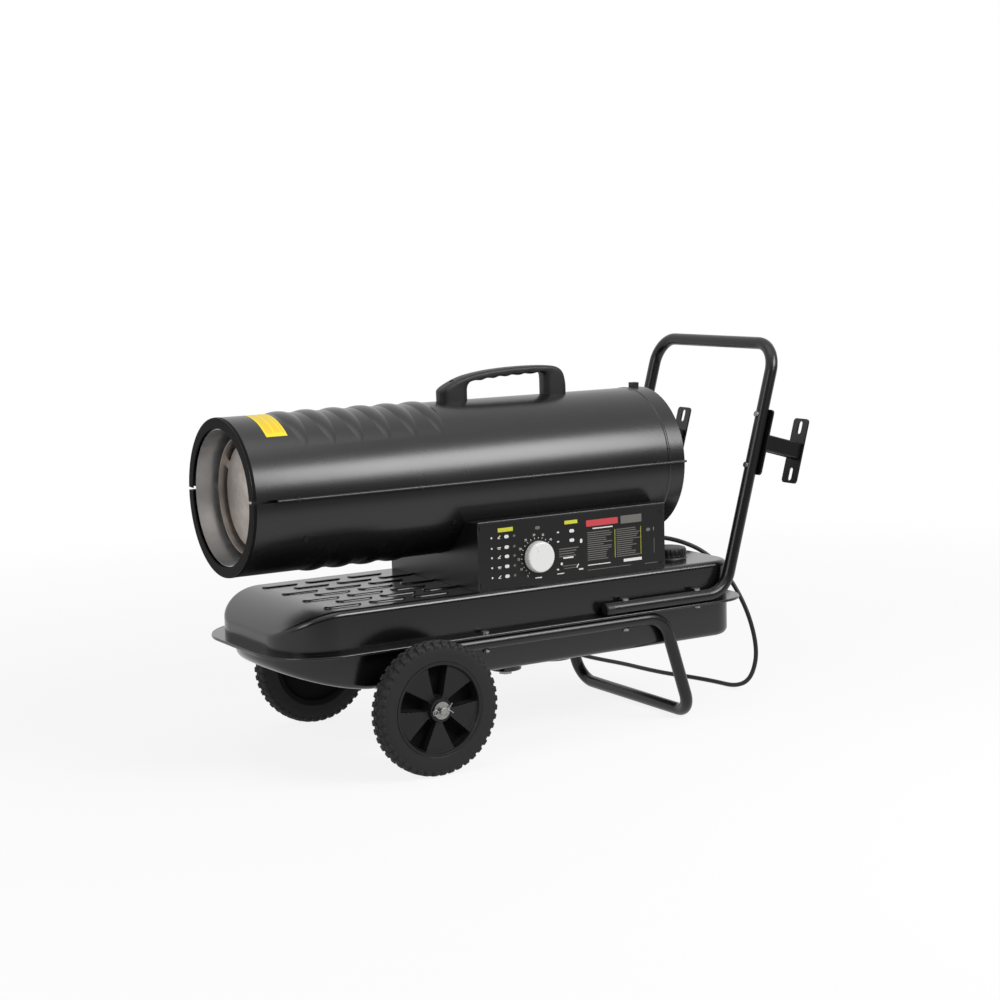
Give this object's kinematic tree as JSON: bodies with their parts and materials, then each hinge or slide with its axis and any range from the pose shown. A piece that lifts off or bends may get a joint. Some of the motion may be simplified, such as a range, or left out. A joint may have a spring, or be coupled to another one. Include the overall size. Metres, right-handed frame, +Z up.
{
  "type": "diesel space heater",
  "caption": "Wheeled diesel space heater: round barrel on a control box over a fuel tank, with carry handle, push handle, stand, filler cap and a coiled power cord.",
  "frame": {"origin": "on the floor, under the middle of the heater without its cord", "axes": "+X from the hot-air outlet to the push handle, +Y to the right side, away from the control panel, +Z up"},
  "size_m": [0.968, 0.6684, 0.6057],
  "materials": {
    "barrel_paint": "semi-gloss black",
    "sheet_black": "semi-gloss black",
    "tank_paint": "glossy black",
    "tube_paint": "satin black",
    "hot_metal": "heat-tinted steel",
    "liner_metal": "bright steel",
    "zinc": "zinc plated",
    "black_plastic": "fine texture",
    "white_plastic": "smooth",
    "panel": "printed, semi-gloss",
    "tyre": "moulded rubber",
    "rim_plastic": "dark grey, satin",
    "rubber": "black rubber",
    "cord_jacket": "black rubber jacket",
    "brass": "machined",
    "motor_metal": "painted casting",
    "aluminium": "cast",
    "board": "circuit board green",
    "ceramic": "glazed",
    "gauge_face": "clear"
  },
  "bodies": {
    "heater": {"air_hose": "rubber", "air_pump": "aluminium", "axle": "zinc", "axle_washers": "zinc", "bracket_screws": "zinc", "burner_head": "hot_metal", "cable_gland": "black_plastic", "carry_handle": "black_plastic", "carry_handle_screws": "sheet_black", "chamber_supports": "hot_metal", "circuit_board": "board", "combustion_chamber": "hot_metal", "control_box": "sheet_black", "control_panel": "panel", "cord_coil": "cord_jacket", "drain_plug": "zinc", "filler_neck": "zinc", "flame_baffle": "hot_metal", "frame_bolts": "zinc", "fuel_hose": "rubber", "fuel_nozzle": "brass", "fuel_pickup": "zinc", "fuel_strainer": "zinc", "handle_end_caps": "black_plastic", "ignition_leads": "rubber", "ignition_transformer": "black_plastic", "inner_liner": "liner_metal", "left_cord_bracket": "tube_paint", "liner_spacers": "liner_metal", "lower_shell": "barrel_paint", "mains_plug": "black_plastic", "motor": "motor_metal", "motor_bracket": "sheet_black", "panel_screws": "sheet_black", "photocell": "brass", "power_cord": "cord_jacket", "pressure_gauge": "gauge_face", "pump_filter_cover": "black_plastic", "push_handle": "tube_paint", "rear_guard": "tube_paint", "right_cord_bracket": "tube_paint", "shell_screws": "sheet_black", "spark_electrodes": "ceramic", "split_pins": "zinc", "stand_frame": "tube_paint", "tank_lower": "tank_paint", "tank_upper": "tank_paint", "thermostat": "black_plastic", "top_bumper": "black_plastic", "upper_shell": "barrel_paint"},
    "left_wheel": {"left_tyre": "tyre", "left_rim": "rim_plastic"},
    "right_wheel": {"right_tyre": "tyre", "right_rim": "rim_plastic"},
    "fan_rotor": {"fan": "aluminium", "fan_shaft": "zinc"},
    "knob": {"thermostat_knob": "white_plastic"},
    "cap_insert": {"cap_seal": "rubber"},
    "cap": {"fuel_cap": "black_plastic"}
  },
  "joints": [
    {"name": "left_wheel_roll", "type": "hinge", "parent": "heater", "child": "left_wheel", "pos_m": [-0.248, -0.2035, 0.1], "axis": [0, 1, 0], "continuous": true},
    {"name": "right_wheel_roll", "type": "hinge", "parent": "heater", "child": "right_wheel", "pos_m": [-0.248, 0.2035, 0.1], "axis": [0, 1, 0], "continuous": true},
    {"name": "fan_spin", "type": "hinge", "parent": "heater", "child": "fan_rotor", "pos_m": [0.05, 0, 0.41], "axis": [1, 0, 0], "continuous": true},
    {"name": "thermostat_turn", "type": "hinge", "parent": "heater", "child": "knob", "pos_m": [-0.0255, -0.147, 0.2925], "axis": [0, 1, 0], "range_deg": [0, 270]},
    {"name": "cap_lift", "type": "slide", "parent": "heater", "child": "cap_insert", "axis": [0, 0, 1], "range_m": [0, 0.026]},
    {"name": "cap_turn", "type": "hinge", "parent": "cap_insert", "child": "cap", "pos_m": [0.282, -0.056, 0.258], "axis": [0, 0, 1], "range_deg": [0, 90]}
  ]
}
